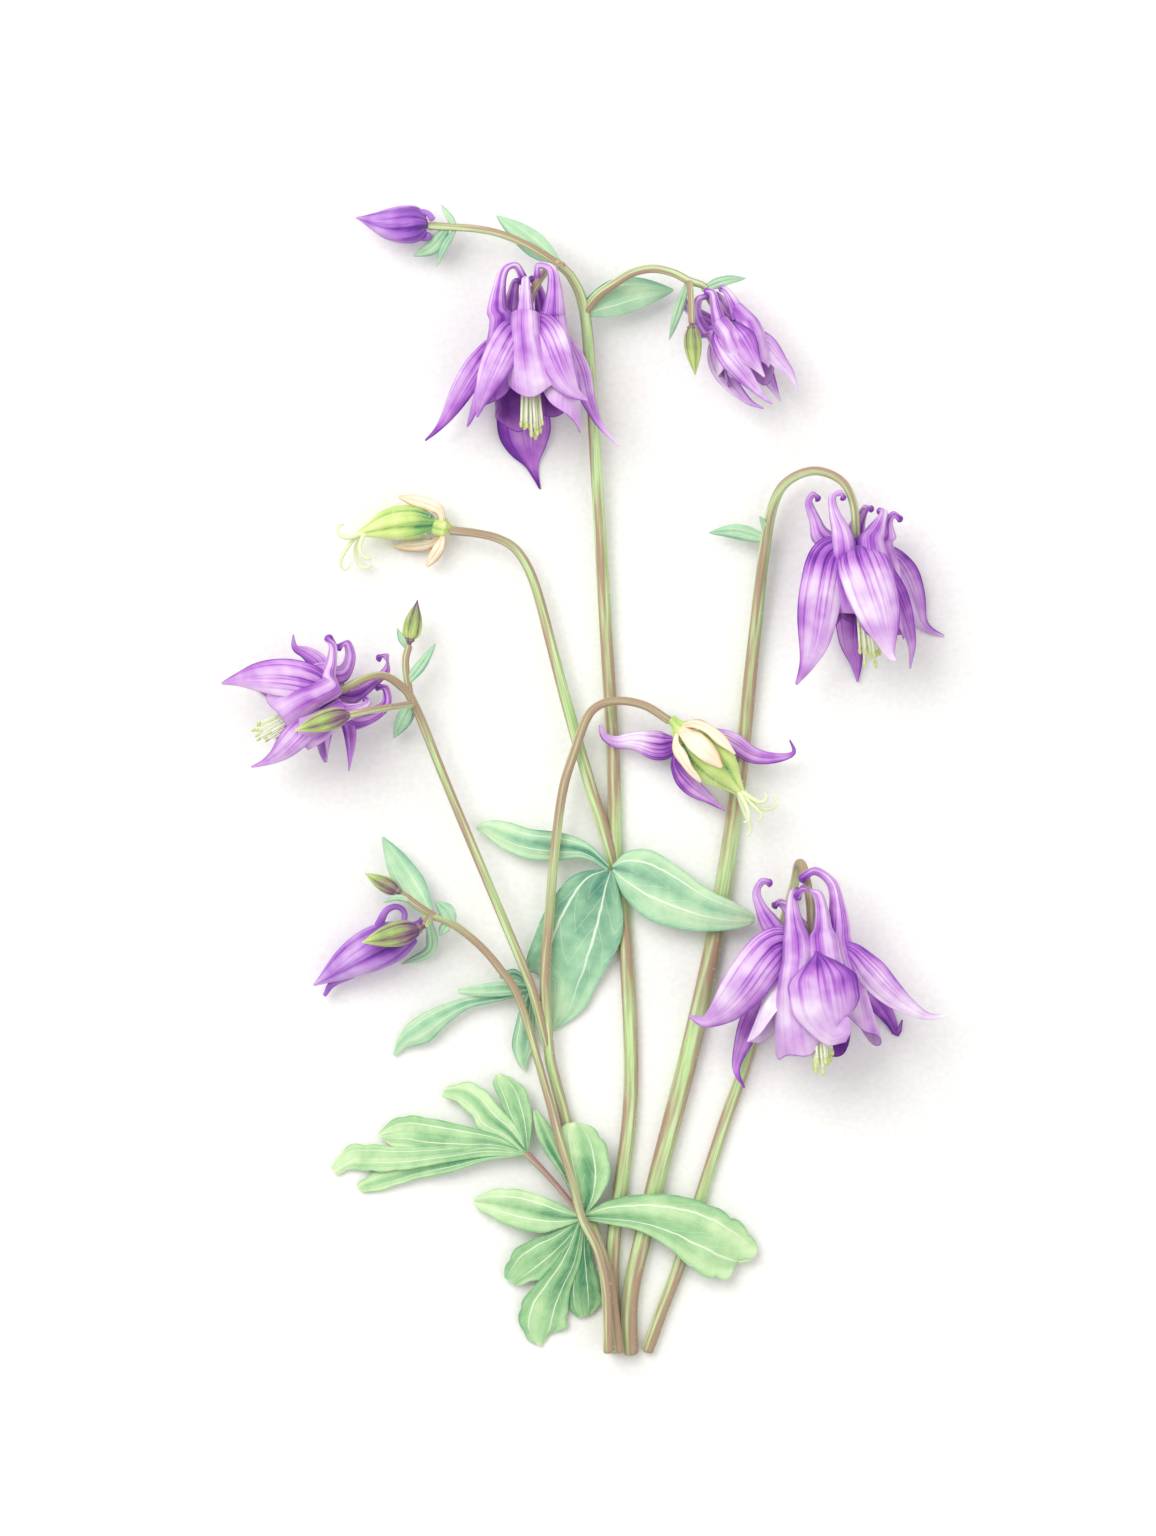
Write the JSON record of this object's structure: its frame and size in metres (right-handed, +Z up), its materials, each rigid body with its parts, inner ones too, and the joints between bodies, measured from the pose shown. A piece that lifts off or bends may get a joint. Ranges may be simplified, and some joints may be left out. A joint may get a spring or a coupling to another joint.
{
  "type": "columbine plant",
  "caption": "Cut columbine spray lying flat: nodding hook-spurred purple blooms, buds, green seed pods and lobed leaves on slender branching stems.",
  "frame": {"origin": "middle of the bounding box in X and Y, at the level of the surface that the spray lies on", "axes": "+Y from the stems' cut ends to the top bloom, +X to the right as the spray is looked down on, +Z up from the surface"},
  "size_m": [0.1445, 0.2291, 0.0234],
  "materials": {
    "petal_purple": "soft satin petal",
    "bud_purple": "soft satin petal",
    "bud_green": "soft downy bud",
    "stem_green": "smooth herbaceous stem",
    "leaf_green": "matte leaf",
    "pod_green": "satin green fruit",
    "stamen_yellow": "matte filament",
    "papery_cream": "dry papery flap"
  },
  "bodies": {
    "root": {"bloom_top": "petal_purple", "bloom_right": "petal_purple", "bloom_low": "petal_purple", "bloom_left": "petal_purple", "bloom_small": "petal_purple", "stamens_top": "stamen_yellow", "stamens_right": "stamen_yellow", "stamens_low": "stamen_yellow", "stamens_left": "stamen_yellow", "stem_main": "stem_green", "stem_tall_right": "stem_green", "stem_low_right": "stem_green", "stem_left": "stem_green", "stem_bud": "stem_green", "leaf_upper": "leaf_green", "leaf_mid": "leaf_green", "leaf_basal": "leaf_green", "pod_left": "pod_green", "pod_center": "pod_green", "staminodes_left": "papery_cream", "staminodes_center": "papery_cream", "faded_sepals": "petal_purple", "bud_top": "bud_purple", "bud_left": "bud_purple", "bud_left_over": "bud_green", "bud_left_small": "bud_green", "bud_side": "bud_green", "bud_upper": "bud_purple", "bud_front": "bud_green"}
  },
  "joints": []
}
